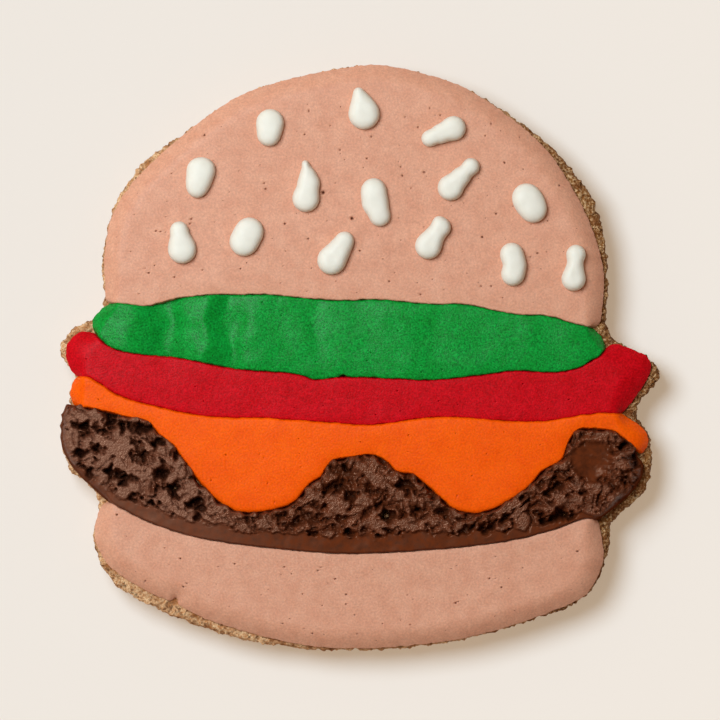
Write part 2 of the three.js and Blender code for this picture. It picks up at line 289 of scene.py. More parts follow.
def smooth_loop(corners, step):
    """A closed smooth curve through the corners, at even steps. Between two
    corners it is a centripetal Catmull-Rom curve: straight blends of the four
    nearest corners, then of those blends, then of those, with knots spaced by
    the square root of the distance between corners."""
    parts = 24
    blends = [np.roll(corners, shift, axis=0)[:, None] for shift in (1, 0, -1, -2)]
    knots = [np.zeros((len(corners), 1, 1))]
    for a, b in zip(blends, blends[1:]):
        knots.append(knots[-1] + np.sqrt(np.linalg.norm(b - a, axis=2, keepdims=True)))
    place = knots[1] + (knots[2] - knots[1]) * (np.arange(parts) / parts)[None, :, None]
    for spans in ([(0, 1), (1, 2), (2, 3)], [(0, 2), (1, 3)], [(1, 2)]):
        blends = [((knots[j] - place) * a + (place - knots[i]) * b) / (knots[j] - knots[i])
                  for (i, j), a, b in zip(spans, blends, blends[1:])]
    return even_loop(blends[0].reshape(-1, 2), step)


def inward_normals(line):
    """Unit normals of an anticlockwise loop, pointing inwards: the direction
    from the point before to the point after, turned left by a quarter."""
    along = np.roll(line, -1, axis=0) - np.roll(line, 1, axis=0)
    along /= np.linalg.norm(along, axis=1, keepdims=True)
    return np.stack([-along[:, 1], along[:, 0]], axis=1)


def smoothed_round(values, reach):
    """Values round a loop, averaged with their neighbours by a bell of weights
    that is three reaches wide on each side."""
    shifts = np.arange(-3 * reach, 3 * reach + 1)
    weights = np.exp(-0.5 * (shifts / reach) ** 2)
    weights /= weights.sum()
    return sum(weight * np.roll(values, shift, axis=0) for shift, weight in zip(shifts, weights))


def rim_width(line, normals, widest, reach=4):
    """How far inwards a rim may go at each point. The largest circle that
    touches the line there from inside has radius |q - s|^2 / (2 n.(q - s)),
    least over all other points q. The width is a soft minimum of RIM_SHARE of
    that radius and of the widest rim, averaged over a reach along the line."""
    away = line[None] - line[:, None]
    inwards = (away * normals[:, None]).sum(axis=2)
    radius = np.where(inwards > 1e-4, (away ** 2).sum(axis=2) / (2 * np.maximum(inwards, 1e-4)), np.inf)
    room = np.maximum(radius.min(axis=1) * RIM_SHARE, 0.05)
    width = (widest ** -4.0 + room ** -4.0) ** -0.25
    return smoothed_round(width, reach)


def scrambled(cells, seed):
    """A random number from 0 to 1 for each whole-number cell: its three numbers
    times large odd numbers, joined by exclusive-or and folded onto themselves."""
    mixed = (cells[..., 0] * 73856093) ^ (cells[..., 1] * 19349663) ^ (cells[..., 2] * 83492791)
    mixed = mixed ^ (seed * 2654435761)
    mixed = (mixed ^ (mixed >> 13)) * 1274126177
    mixed = (mixed ^ (mixed >> 15)) * 668265263
    return ((mixed ^ (mixed >> 16)) & 0xFFFFFF) / 0x1000000


def soft_noise(places, size, seed):
    """Smooth noise, mostly from -1 to 1. Each corner of a cubic lattice has a
    random slope, and the heights that the eight slopes round a place give there
    are blended with the weight 6t^5 - 15t^4 + 10t^3 along each axis."""
    scaled = places / size
    cell = np.floor(scaled).astype(np.int64)
    part = scaled - cell
    weight = part ** 3 * (part * (part * 6 - 15) + 10)
    total = np.zeros(places.shape[:-1])
    for corner in itertools.product((0, 1), repeat=3):
        corner = np.array(corner)
        slope = np.stack([scrambled(cell + corner, seed + 7 * k) * 2 - 1 for k in range(3)], axis=-1)
        height = (slope * (part - corner)).sum(axis=-1)
        total += height * np.prod(np.where(corner, weight, 1 - weight), axis=-1)
    return total * 1.7


def cell_noise(places, size, seed):
    """Distances to the nearest and second nearest of points that are scattered
    one to each cell of a cubic lattice, in cells, and the nearest one's own
    random number. Flat places only meet the cells of their own layer."""
    scaled = places / size
    cell = np.floor(scaled).astype(np.int64)
    layers = (0,) if np.ptp(places[..., 2]) == 0 else (-1, 0, 1)
    nearest = np.full(places.shape[:-1], 9.0)
    second = nearest.copy()
    owner = np.zeros(places.shape[:-1])
    for shift in itertools.product((-1, 0, 1), (-1, 0, 1), layers):
        other = cell + np.array(shift)
        point = other + np.stack([scrambled(other, seed + 11 * k) for k in range(3)], axis=-1)
        if len(layers) == 1:
            point[..., 2] = scaled[..., 2]
        distance = np.linalg.norm(scaled - point, axis=-1)
        second = np.minimum(second, np.maximum(distance, nearest))
        owner = np.where(distance < nearest, scrambled(other, seed + 101), owner)
        nearest = np.minimum(nearest, distance)
    return nearest, second, owner


def ease(value, low, high):
    """0 below low, 1 above high, and 3t^2 - 2t^3 in between."""
    share = np.clip((value - low) / (high - low), 0, 1)
    return share * share * (3 - 2 * share)


def grid_faces(numbers, closed=False):
    """Four-sided faces between the neighbouring rows of a grid of vertex
    numbers. A closed grid also joins its last column to its first."""
    if closed:
        numbers = np.concatenate([numbers, numbers[:, :1]], axis=1)
    return np.stack([numbers[:-1, :-1], numbers[:-1, 1:], numbers[1:, 1:], numbers[1:, :-1]],
                    axis=-1).reshape(-1, 4)


def make_piece(name, places, faces, material, nodes, slot, marks=None):
    """Puts places (n, 3) in millimetres and lists of faces into a mesh, shades
    it smooth, stores each mark as a number at every vertex, and has the piece
    replace its CAD nodes."""
    mesh = bpy.data.meshes.new(name)
    mesh.vertices.add(len(places))
    mesh.vertices.foreach_set("co", np.asarray(places * MM, dtype=np.float32).ravel())
    counts = np.concatenate([np.full(len(group), group.shape[1]) for group in faces])
    mesh.loops.add(int(counts.sum()))
    corners = np.concatenate([group.ravel() for group in faces])
    mesh.loops.foreach_set("vertex_index", corners.astype(np.int32))
    mesh.polygons.add(len(counts))
    starts = np.concatenate([[0], np.cumsum(counts)[:-1]])
    mesh.polygons.foreach_set("loop_start", starts.astype(np.int32))
    mesh.update(calc_edges=True)
    mesh.validate()
    mesh.shade_smooth()
    for mark, values in (marks or {}).items():
        stored = mesh.attributes.new(mark, "FLOAT", "POINT")
        stored.data.foreach_set("value", np.asarray(values, dtype=np.float32))
    mesh.materials.append(material)
    piece = bpy.data.objects.new(name, mesh)
    bpy.context.scene.collection.objects.link(piece)
    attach(piece, "root")
    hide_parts(*nodes)
    return piece


def baked_dough():
    """Hard-baked wholemeal dough: a dry, matt, grainy crumb, golden tan with paler and browner flecks of
    0.4 mm, and baked browner in clouds of 2 mm. Shade is painted into its colour: darker along its right
    side, which faces away from the light, and dark in its holes. Roughness 0.9 leaves no shine."""
    material, tree, output = new_material("baked_wholemeal_dough")
    place = add_node(tree, "TexCoord").outputs["Object"]
    pore = add_node(tree, "Attribute", attribute_name="pore").outputs["Fac"]
    crumb_noise = add_node(tree, "TexNoise", {
        "Vector": place, "Scale": 1 / (0.4 * MM), "Detail": 4.0, "Roughness": 0.7})
    crumb_shade = add_node(tree, "MapRange", {
        "Value": crumb_noise.outputs["Fac"], "From Min": 0.38, "From Max": 0.64})
    meal = add_node(tree, "Mix", {
        0: crumb_shade.outputs[0], 6: linear(0xFDD3A0), 7: linear(0xD0854C)}, data_type="RGBA")
    clouds = add_node(tree, "TexNoise", {"Vector": place, "Scale": 1 / (2.0 * MM), "Detail": 4.0})
    cloud_shade = add_node(tree, "MapRange", {
        "Value": clouds.outputs["Fac"], "From Min": 0.42, "From Max": 0.68})
    baked = add_node(tree, "Mix", {
        0: cloud_shade.outputs[0], 6: meal.outputs[2], 7: linear(0xAC6C3C)}, data_type="RGBA")
    flecks = add_node(tree, "TexVoronoi", {"Vector": place, "Scale": 1 / (0.4 * MM)}, feature="F1")
    fleck_shade = add_node(tree, "MapRange", {
        "Value": flecks.outputs["Color"], "From Min": 0.55, "From Max": 0.95, "To Max": 0.85})
    flecked = add_node(tree, "Mix", {
        0: fleck_shade.outputs[0], 6: baked.outputs[2], 7: linear(0x6E3E1C)}, data_type="RGBA")
    # Painted shade: the right side is multiplied darker, more so in the darker crumb.
    right_shade = add_node(tree, "Attribute", attribute_name="right_shade").outputs["Fac"]
    spots = add_node(tree, "Math", {
        0: crumb_shade.outputs[0], 1: 1.3, 2: 0.2}, operation="MULTIPLY_ADD")
    right_shade_share = add_node(tree, "Math", {0: right_shade, 1: spots.outputs[0]}, operation="MULTIPLY")
    right_shaded = add_node(tree, "Mix", {
        0: right_shade_share.outputs[0], 6: flecked.outputs[2], 7: linear(0xA8946A)},
        data_type="RGBA", blend_type="MULTIPLY")
    # Painted shade: the holes are mixed towards a dark brown.
    holes = add_node(tree, "Mix", {
        0: pore, 6: right_shaded.outputs[2], 7: linear(0x4A2812)}, data_type="RGBA")
    bump = add_node(tree, "Bump", {
        "Height": crumb_noise.outputs["Fac"], "Strength": 1.0, "Distance": 0.5 * MM}, invert=True)
    shader = add_node(tree, "BsdfPrincipled", {
        "Base Color": holes.outputs[2], "Roughness": 0.9, "Specular IOR Level": 0.15,
        "Normal": bump.outputs["Normal"]})
    tree.links.new(shader.outputs[0], output.inputs["Surface"])
    return material


dough_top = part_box("biscuit")[1][2] / MM
biscuit_line = smooth_loop(cad_line("biscuit", BISCUIT_BASE_ROUND), 0.1)
biscuit_run = np.linspace(0, len(biscuit_line), BISCUIT_STEPS_ROUND, endpoint=False)
biscuit_line = biscuit_line[np.round(biscuit_run).astype(int) % len(biscuit_line)]
biscuit_normals = inward_normals(biscuit_line)
biscuit_room = rim_width(biscuit_line, biscuit_normals, BISCUIT_TOP_ROUND)

# Each row is how far it lies inwards and how high: underside round, side, upper round.
base_turn = np.linspace(0, math.pi / 2, BASE_EDGE_ROWS + 1)[:-1]
top_turn = np.linspace(0, math.pi / 2, TOP_EDGE_ROWS + 1)
side_height = np.linspace(BISCUIT_BASE_ROUND, dough_top - BISCUIT_TOP_ROUND, SIDE_ROWS)[:-1]
row_inset = np.concatenate([
    BISCUIT_BASE_ROUND * (1 - np.sin(base_turn)),
    np.zeros(SIDE_ROWS - 1),
    BISCUIT_TOP_ROUND * (1 - np.cos(top_turn))])
row_height = np.concatenate([
    BISCUIT_BASE_ROUND * (1 - np.cos(base_turn)),
    side_height,
    dough_top - BISCUIT_TOP_ROUND * (1 - np.sin(top_turn))])
shrink = (biscuit_room / BISCUIT_TOP_ROUND)[None, :, None]
wall = np.empty((len(row_inset), BISCUIT_STEPS_ROUND, 3))
wall[..., :2] = biscuit_line + biscuit_normals * row_inset[:, None, None] * shrink
wall[..., 2] = row_height[:, None]

# The wall's crumb: a swell outwards, least at the crown and most at the left
# shoulder, less lumps, torn ridges, grains and pores. The cutter has dragged
# it, so its lumps are DRAG times as tall as wide.
dragged = wall / (1, 1, DRAG)
grain_near, _, grain_kind = cell_noise(wall / (1, 1, GRAIN_DRAG), GRAIN_SIZE, 5)
pore_near, _, pore_kind = cell_noise(wall, PORE_SPACING, 9)
pore_reach = PORE_RADIUS * (0.4 + 0.6 * pore_kind)
wall_pore = ease(-pore_near * PORE_SPACING, -pore_reach, 0) * (pore_kind > PORES_MISSING)
swell = SWELL + (SWELL_AT_CROWN - SWELL) * ease(-biscuit_normals[:, 1], 0.3, 0.7)
shoulder_away = np.linalg.norm(biscuit_line - SHOULDER, axis=1)
swell += SHOULDER_SWELL * np.exp(-(shoulder_away / SHOULDER_REACH) ** 2)
crumb = swell - CRUMB_DEPTH * np.abs(soft_noise(dragged, CRUMB_SIZE, 3))
crumb -= TORN_DEPTH * (0.3 + 0.6 * soft_noise(dragged, TORN_SIZE, 4))
crumb -= GRAIN_DEPTH * (grain_near * (0.4 + grain_kind) - 0.15) + PORE_DEPTH * wall_pore
wall[..., :2] -= biscuit_normals * crumb[..., None]

# The lid and the sole are the wall's last and first rings drawn together, in
# rings that crowd towards the wall. The lid is rough like torn crumb.
biscuit_centre = biscuit_line.mean(axis=0)
top_share = 1 - np.linspace(0, 1, TOP_ROWS + 1)[1:-1] ** LID_CROWDING
base_share = 1 - np.linspace(0, 1, BASE_ROWS + 1)[1:-1][::-1] ** SOLE_CROWDING
lid = np.empty((len(top_share), BISCUIT_STEPS_ROUND, 3))
lid[..., :2] = biscuit_centre + (wall[-1, :, :2] - biscuit_centre) * top_share[:, None, None]
lid[..., 2] = dough_top
sole = np.empty((len(base_share), BISCUIT_STEPS_ROUND, 3))
sole[..., :2] = biscuit_centre + (wall[0, :, :2] - biscuit_centre) * base_share[:, None, None]
sole[..., 2] = 0
body = np.concatenate([sole, wall, lid])
top_grain, _, top_kind = cell_noise(body, GRAIN_SIZE, 6)
upper = ease(body[..., 2], dough_top - 1, dough_top)
torn_top = 0.3 * np.abs(soft_noise(body, 1.6, 7)) + 0.2 * np.abs(soft_noise(body, 0.7, 8))
body[..., 2] -= upper * (LID_GRAIN_DEPTH * (top_grain + 0.4 * top_kind) + torn_top)
pore = np.concatenate([np.zeros(sole.shape[:2]), wall_pore, np.zeros(lid.shape[:2])])
count = body.shape[0] * body.shape[1]
numbers = np.arange(count).reshape(body.shape[:2])
poles = np.array([[*biscuit_centre, 0], [*biscuit_centre, dough_top - LID_POLE_DEPTH]])
next_round = np.roll(numbers, -1, axis=1)
# Its marks: the pores, and how much painted shade darkens the right side.
biscuit = make_piece(
    "biscuit_crumb",
    np.concatenate([body.reshape(-1, 3), poles]),
    [grid_faces(numbers, closed=True),
     np.stack([next_round[0], numbers[0], np.full(BISCUIT_STEPS_ROUND, count)], axis=1),
     np.stack([numbers[-1], next_round[-1], np.full(BISCUIT_STEPS_ROUND, count + 1)], axis=1)],
    baked_dough(), ["biscuit"], "baked_crumb",
    {"pore": np.concatenate([pore.ravel(), [0, 0]]),
     "right_shade": np.concatenate([ease(body[..., 0], RIGHT_SHADE_FROM_X, RIGHT_SHADE_FULL_X).ravel(), [0, 0]])})

# ---------------------------------------------------------------------------
# The upper half of the bun.
# Peach royal icing flooded inside a piped outline and dried: a flat, matt pool
# with a rounded rim, a faint swell, and small holes where air bubbles burst.

SUNK = 0.45
WIDEST_SHARE = 0.05
BANK_WIDEST = 2.0
HALF_GAP = 0.15
RIM_TURNS = np.radians([-60, -25, 0, 11, 22, 33, 45, 57, 70, 90])
LINE_STEP = 0.1
GRID_LEAN = 0.5
DRAWING_ORIGIN = np.array([-0.27, 0.05])
PIT_REACH = 0.8
PIT_CLEARANCE = 1.3
SEAM_LINE = 0.06
HIGHEST_LUMP = 0.45
SWELL_REACH = 6
FINE_PIT_SPACING = 4
BUN_PITS = np.array([
    (-25.5, 37.0, 0.20), (-27.9, 22.2, 0.20), (-34.8, 14.0, 0.20), (-33.6, 21.0, 0.17),
    (-32.8, 20.9, 0.15), (-15.3, 28.0, 0.18), (-15.5, 29.0, 0.16), (-12.1, 22.2, 0.22),
    (-8.2, 19.7, 0.18), (-0.9, 23.1, 0.32), (-2.9, 34.5, 0.18), (-8.8, 37.1, 0.16),
    (-8.1, 41.0, 0.17), (1.6, 33.1, 0.17), (2.3, 36.7, 0.18), (7.5, 30.2, 0.18),
    (7.2, 31.7, 0.16), (11.1, 30.8, 0.20), (13.8, 40.3, 0.16), (0.4, 17.7, 0.18),
    (10.1, 38.3, 0.16), (24.5, 32.4, 0.20), (23.1, 23.9, 0.20), (33.7, 28.6, 0.18),
    (30.0, 17.3, 0.18), (20.8, 20.0, 0.22), (20.6, 11.8, 0.17), (22.3, 11.8, 0.17),
    (22.3, 38.9, 0.16), (-5.7, 27.4, 0.34), (-19.5, 14.7, 0.17), (-30.5, 13.3, 0.16),
    (10.5, 10.4, 0.16), (5.3, 12.6, 0.17), (-16.0, 11.5, 0.16), (-27.7, 23.0, 0.20)])


def soft_distance(places, line, pull=None):
    """Distance to a closed line, rounded off in the middle of narrow places:
    the root of 2 over the root of the sum, round the line, of each step's
    length over |p - s| cubed. Steps may pull with a weight of their own."""
    flat = places.reshape(-1, 2).astype(np.float32)
    step = np.linalg.norm(line[1] - line[0])
    total = np.zeros(len(flat), dtype=np.float32)
    weights = np.ones(len(line)) if pull is None else pull
    parts = 1 + len(line) // 100
    for stretch, weight in zip(np.array_split(line.astype(np.float32), parts),
                               np.array_split(weights.astype(np.float32), parts)):
        gap = (flat[:, :1] - stretch[None, :, 0]) ** 2 + (flat[:, 1:] - stretch[None, :, 1]) ** 2
        gap = np.maximum(gap, 0.1 * step ** 2)
        total += (1 / (gap * np.sqrt(gap))) @ weight
    return (math.sqrt(2) / np.sqrt(total * step)).reshape(places.shape[:-1]).astype(float)


def at_places(values, run):
    """Values round a loop read between its points, in straight proportion."""
    before = np.floor(run).astype(int)
    part = (run - before).reshape(-1, *[1] * (values.ndim - 1))
    return values[before % len(values)] * (1 - part) + values[(before + 1) % len(values)] * part


def side_run(line, start, end, steps, axis):
    """Where one side of a pool's grid has its points: from one corner to the
    next along the line, at even steps of the way along one axis plus
    GRID_LEAN times the line's own length."""
    run = np.arange(start, end + 1 + (len(line) if end < start else 0))
    strides = np.diff(line[run % len(line)], axis=0)
    counted = np.abs(strides[:, axis]) + GRID_LEAN * np.linalg.norm(strides, axis=1)
    length = np.concatenate([[0], np.cumsum(counted)])
    return np.interp(np.linspace(0, length[-1], steps + 1)[:-1], length, run)


def relaxed(grid):
    """Evens out a grid inside its fixed border, so that none of its cells fold.
    Each place moves to the mean of its four neighbours, weighed by how far
    apart the rows and the columns are there, less the grid's twist. Coarse
    grids go first, and what they move is spread over the finer ones."""
    for skip, rounds in ((8, 150), (4, 150), (2, 60), (1, 30)):
        part = grid[::skip, ::skip].copy()
        for _ in range(rounds):
            across = (part[1:-1, 2:] - part[1:-1, :-2]) / 2
            upwards = (part[2:, 1:-1] - part[:-2, 1:-1]) / 2
            twist = (part[2:, 2:] - part[:-2, 2:] - part[2:, :-2] + part[:-2, :-2]) / 4
            wide = (across ** 2).sum(axis=2, keepdims=True)
            tall = (upwards ** 2).sum(axis=2, keepdims=True)
            slant = (across * upwards).sum(axis=2, keepdims=True)
            beside = part[1:-1, 2:] + part[1:-1, :-2]
            above = part[2:, 1:-1] + part[:-2, 1:-1]
            part[1:-1, 1:-1] = (tall * beside + wide * above - 2 * slant * twist) / (2 * (wide + tall))
        moved = part - grid[::skip, ::skip]
        hats = [np.clip(1 - np.abs(np.linspace(0, few - 1, many)[:, None] - np.arange(few)), 0, 1)
                for many, few in zip(grid.shape, part.shape[:2])]
        grid = grid + np.einsum("ik,klc,jl->ijc", hats[0], moved, hats[1], optimize=True)
    return grid


def pits_at(flat, pits):
    """Draws places together round small holes and says how deep they are in
    them. Within the reach R of the nearest hole, which ends half-way to the
    next hole, a place at distance a moves to R (a/R)^1.8. The depth there is
    2.2 r (1 - (a/r)^2)^1.3 for a hole of radius r, less a low lip round it,
    0.3 r exp(-((a - 1.3 r) / 0.35 r)^2)."""
    away = np.linalg.norm(flat[:, None] - pits[None, :, :2], axis=2)
    apart = np.linalg.norm(pits[:, None, :2] - pits[None, :, :2], axis=2) + 9 * np.eye(len(pits))
    nearest = away.argmin(axis=1)
    centre = pits[nearest, :2]
    distance = away[np.arange(len(flat)), nearest]
    share = distance / np.minimum(PIT_REACH, apart.min(axis=1) / 2)[nearest]
    drawn = np.where(share < 1, share ** 0.8, 1)
    moved = centre + (flat - centre) * drawn[:, None]
    radii = distance * drawn / pits[nearest, 2]
    inside = np.clip(1 - radii ** 2, 0, 1)
    depth = 2.2 * inside ** 1.3 - 0.3 * np.exp(-((radii - 1.3) / 0.35) ** 2)
    return moved, depth * pits[nearest, 2], np.clip(1.5 * inside - 0.4, 0, 1)


def nearest_distance(flat, line):
    """Distance to the nearest point of a line, a stretch of it at a time."""
    least = np.full(len(flat), np.inf)
    for stretch in np.array_split(line, 1 + len(line) // 100):
        gap = ((flat[:, None] - stretch[None]) ** 2).sum(axis=2)
        least = np.minimum(least, gap.min(axis=1))
    return np.sqrt(least)


pool_lines = {
    node: smooth_loop(cad_line(node, dough_top), 0.2)
    for node in ("bun_top_icing", "lettuce_icing", "tomato_icing",
                 "cheese_icing", "patty_icing", "bun_bottom_icing")}


def seam_share(line, node):
    """1 where a pool's edge runs along another pool, and 0 where it is free."""
    others = np.concatenate([other for name, other in pool_lines.items() if name != node])
    return smoothed_round(1 - ease(nearest_distance(line, others), 0.5, 1.2), 5)


def bulge(line, place, reach, amount):
    """A local growth of the edge: amount times exp(-(distance / reach)^2)."""
    centre = np.array(place) + DRAWING_ORIGIN
    return amount * np.exp(-(np.linalg.norm(line - centre, axis=1) / reach) ** 2)


def wander(line, seed):
    """How a piped edge strays: smooth noise 1.4 mm wide times 0.12 mm, and
    0.6 mm wide times 0.08 mm."""
    deep = np.column_stack([line, np.zeros(len(line))])
    return 0.12 * soft_noise(deep, 1.4, seed) + 0.08 * soft_noise(deep, 0.6, seed + 1)


def icing_pool(node, rim, seam, corners, columns, rows, swell, relief, seed,
               pits=None, ragged=None, seam_shade=1.0):
    """A flooded pool of icing: places, faces and marks of a closed surface. rim and seam are (how wide the
    edge is rounded, how far the CAD line is grown outwards), on the open side and against other pools.
    ragged(line) is added to that growth, and the last argument is how dark the painted shade along the
    seams gets, from 0 to 1. The rim is a profile carried along the line: from under the dough's top out to
    the line, then over as w (1 - cos t) inwards. Inside it a Coons patch, which is the blend of the left
    and right sides plus that of the lower and upper, less that of the corners, fills the rim's inner line,
    and is then relaxed. Its height is a rounded share 1 - (1 - d / w)^2 of the soft distance d to the line,
    plus a slow swell 1 - exp(-d / SWELL_REACH) and the relief."""
    low, high = (np.array(corner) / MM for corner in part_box(node))
    line = smooth_loop(cad_line(node, low[2]), LINE_STEP)
    inner_share = seam_share(line, node)
    grow = rim[1] + (seam[1] - rim[1]) * inner_share
    grow += wander(line, seed) if ragged is None else ragged(line)
    line = even_loop(line - inward_normals(line) * grow[:, None], LINE_STEP)
    normals = inward_normals(smoothed_round(line, 2))
    inner_share = seam_share(line, node)
    widest = rim[0] + (seam[0] - rim[0]) * inner_share
    pull = (widest / rim[0]) ** 2
    width = rim_width(line, normals, np.minimum(widest, BANK_WIDEST), reach=7)
    rim = rim[0]
    ends = [int(np.argmax(line @ np.array(corner))) for corner in corners]
    sides = [(columns, 0), (rows, 1), (columns, 0), (rows, 1)]
    run = np.concatenate([
        side_run(line, start, end, steps, axis)
        for start, end, (steps, axis) in zip(ends, ends[1:] + ends[:1], sides)])
    edge = at_places(line, run)
    inwards = at_places(normals, run)
    reach = at_places(width, run)[:, None]
    inner = edge + inwards * reach

    u = np.linspace(0, 1, columns + 1)[None, :, None]
    v = np.linspace(0, 1, rows + 1)[:, None, None]
    around = np.concatenate([inner, inner[:1]])
    lower = around[:columns + 1][None]
    right = around[columns:columns + rows + 1][:, None]
    upper = around[columns + rows:2 * columns + rows + 1][::-1][None]
    left = around[2 * columns + rows:][::-1][:, None]
    grid = (1 - v) * lower + v * upper + (1 - u) * left + u * right
    grid -= (1 - u) * ((1 - v) * lower[:, :1] + v * upper[:, :1])
    grid -= u * ((1 - v) * lower[:, -1:] + v * upper[:, -1:])
    grid = relaxed(grid)

    depth = np.zeros(grid.shape[:2])
    hole = np.zeros(grid.shape[:2])
    if pits is not None:
        pits = pits[soft_distance(pits[:, :2], line) > PIT_CLEARANCE]
        moved, depth, hole = (part.reshape(rows + 1, columns + 1, -1)
                              for part in pits_at(grid.reshape(-1, 2), pits))
        grid[1:-1, 1:-1] = moved[1:-1, 1:-1]
        depth, hole = depth[..., 0], hole[..., 0]
    distance = soft_distance(grid, line[::3], pull[::3])
    loop = np.arange(grid.shape[0] * grid.shape[1]).reshape(grid.shape[:2])
    boundary = np.concatenate([loop[0, :-1], loop[:-1, -1], loop[-1, :0:-1], loop[:0:-1, 0]])
    nearness = distance.reshape(-1)[boundary][:, None] / reach

    turns = RIM_TURNS[:-1][:, None, None]
    inset = reach * (1 - np.cos(turns)) * np.where(turns < 0, 0.3, 1)
    bank = edge + inwards * inset
    bank_distance = (inset * nearness)[..., 0]
    flat = np.concatenate([bank.reshape(-1, 2), grid.reshape(-1, 2)])
    all_distance = np.concatenate([bank_distance.ravel(), distance.ravel()])
    rise, marks = relief(flat, all_distance)

    full = high[2] - low[2]
    waist = low[2] + WIDEST_SHARE * full
    round_share = 1 - (1 - np.minimum(all_distance / rim, 1)) ** 2
    height = waist + (high[2] - swell - waist) * round_share
    height += swell * (1 - np.exp(-all_distance / SWELL_REACH)) + rise * round_share
    height[len(flat) - grid.shape[0] * grid.shape[1]:] -= depth.ravel()
    below = np.repeat((RIM_TURNS[:-1] <= 0), len(run))
    drop_share = np.repeat(np.sin(RIM_TURNS[:-1]) / math.sin(-RIM_TURNS[0]), len(run))
    under = waist + (waist - low[2] + SUNK) * drop_share
    height[:len(below)] = np.where(below, under, height[:len(below)])
    height = np.minimum(height, high[2] + HIGHEST_LUMP)

    places = np.column_stack([flat, height])
    bank_count = len(bank) * len(run)
    bank_numbers = np.arange(bank_count).reshape(len(bank), len(run))
    bank_numbers = np.concatenate([bank_numbers, boundary[None] + bank_count])
    faces = [grid_faces(bank_numbers, closed=True), grid_faces(loop + bank_count),
             bank_numbers[0][::-1][None]]
    # Painted shade: the pit mark darkens the holes, and the crease mark paints a thin shadow along the
    # seams where pools meet.
    marks["pit"] = np.concatenate([np.zeros(bank_count), hole.ravel()])
    beyond = inset[..., 0] - (seam[1] - HALF_GAP)
    touch = np.exp(-(np.maximum(beyond, 0) / SEAM_LINE) ** 2).ravel()
    specks = 0.75 + 0.5 * soft_noise(np.column_stack([flat, height])[:bank_count], 0.7, seed + 2)
    touch *= seam_shade * np.tile(at_places(inner_share, run), len(bank)) * specks
    marks["crease"] = np.concatenate([touch, np.zeros(hole.size)])
    return places, faces, marks


def spaced_pits(node, share, radii, seed):
    """Small holes scattered evenly: one to a cell of a square net over the
    node's box, kept for a share of the cells, with radii from a range."""
    low, high = (np.array(corner)[:2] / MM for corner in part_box(node))
    ticks = [np.arange(low[k], high[k], FINE_PIT_SPACING) for k in (0, 1)]
    net = np.stack(np.meshgrid(*ticks), axis=-1)
    cells = np.random.default_rng(seed).random((net.shape[0] * net.shape[1], 4))
    centres = net.reshape(-1, 2) + FINE_PIT_SPACING * cells[:, :2]
    sizes = radii[0] + (radii[1] - radii[0]) * cells[:, 2] ** 2
    return np.column_stack([centres, sizes])[cells[:, 3] < share]


def royal_icing(name, colour, deeper, dark, mottle, grain, contrast, seam_dark, roughness, sheen):
    """Dried royal icing: sugar in egg white, matt with a faint sheen and a little light passing under the
    surface. Its colour is uneven over a few millimetres where the food dye has spread, its skin is grainy
    like fine sugar, and shade is painted darker into the burst bubbles and along the seams."""
    material, tree, output = new_material(name)
    place = add_node(tree, "TexCoord").outputs["Object"]
    pit = add_node(tree, "Attribute", attribute_name="pit").outputs["Fac"]
    crease = add_node(tree, "Attribute", attribute_name="crease").outputs["Fac"]
    clouds = add_node(tree, "TexNoise", {
        "Vector": place, "Scale": 1 / (mottle * MM), "Detail": 3.0, "Roughness": 0.6})
    cloud_share = add_node(tree, "MapRange", {
        "Value": clouds.outputs["Fac"], "From Min": 0.33, "From Max": 0.67})
    dyed = add_node(tree, "Mix", {
        0: cloud_share.outputs[0], 6: linear(colour), 7: linear(deeper)}, data_type="RGBA")
    sugar = add_node(tree, "TexNoise", {
        "Vector": place, "Scale": 1 / (grain * MM), "Detail": 2.0, "Roughness": 0.6})
    sugar_tone = add_node(tree, "MapRange", {
        "Value": sugar.outputs["Fac"], "From Min": 0.3, "From Max": 0.7,
        "To Min": 1 - contrast, "To Max": 1 + contrast})
    grainy = add_node(tree, "Mix", {
        0: 1.0, 6: dyed.outputs[2], 7: sugar_tone.outputs[0]}, data_type="RGBA", blend_type="MULTIPLY")
    # Painted shade: the holes and the seams are mixed towards the dark colour.
    pitted = add_node(tree, "Mix", {
        0: pit, 6: grainy.outputs[2], 7: linear(dark)}, data_type="RGBA")
    crease_share = add_node(tree, "MapRange", {"Value": crease, "To Max": seam_dark})
    creased = add_node(tree, "Mix", {
        0: crease_share.outputs[0], 6: pitted.outputs[2], 7: linear(dark)}, data_type="RGBA")
    bump = add_node(tree, "Bump", {
        "Height": sugar.outputs["Fac"], "Strength": 0.7, "Distance": 0.25 * grain * MM})
    shader = add_node(tree, "BsdfPrincipled", {
        "Base Color": creased.outputs[2], "Roughness": roughness, "IOR": 1.45,
        "Specular IOR Level": sheen, "Subsurface Weight": 0.1,
        "Subsurface Radius": (0.6 * MM, 0.35 * MM, 0.25 * MM), "Subsurface Scale": 1.0,
        "Normal": bump.outputs["Normal"]})
    tree.links.new(shader.outputs[0], output.inputs["Surface"])
    return material


def bun_relief(flat, distance):
    """Slow unevenness, 9 mm and 3.5 mm wide, of a tenth of a millimetre."""
    deep = np.column_stack([flat, np.zeros(len(flat))])
    rise = 0.07 * soft_noise(deep, 9, 21) + 0.03 * soft_noise(deep, 3.5, 22)
    return rise - 0.06, {}


def placed_pits(pits):
    """Listed holes, moved from the drawing's origin to the frame's."""
    return pits + np.array([*DRAWING_ORIGIN, 0])


def bun_edge(line):
    """The upper bun's edge strays a little. It is fuller at both sides, where
    it comes nearly to the dough's edge, at its two lower corners and at its
    left shoulder."""
    sides = bulge(line, (-41.6, 18.0), 8.0, 0.45) + bulge(line, (41.0, 15.0), 6.0, 0.3)
    corners = bulge(line, (-41.6, 9.6), 1.6, 0.5) + bulge(line, (40.8, 5.4), 2.0, 0.6)
    shoulder = bulge(line, (-36.0, 28.0), 5.0, 0.2)
    return wander(line, 101) + sides + corners + shoulder


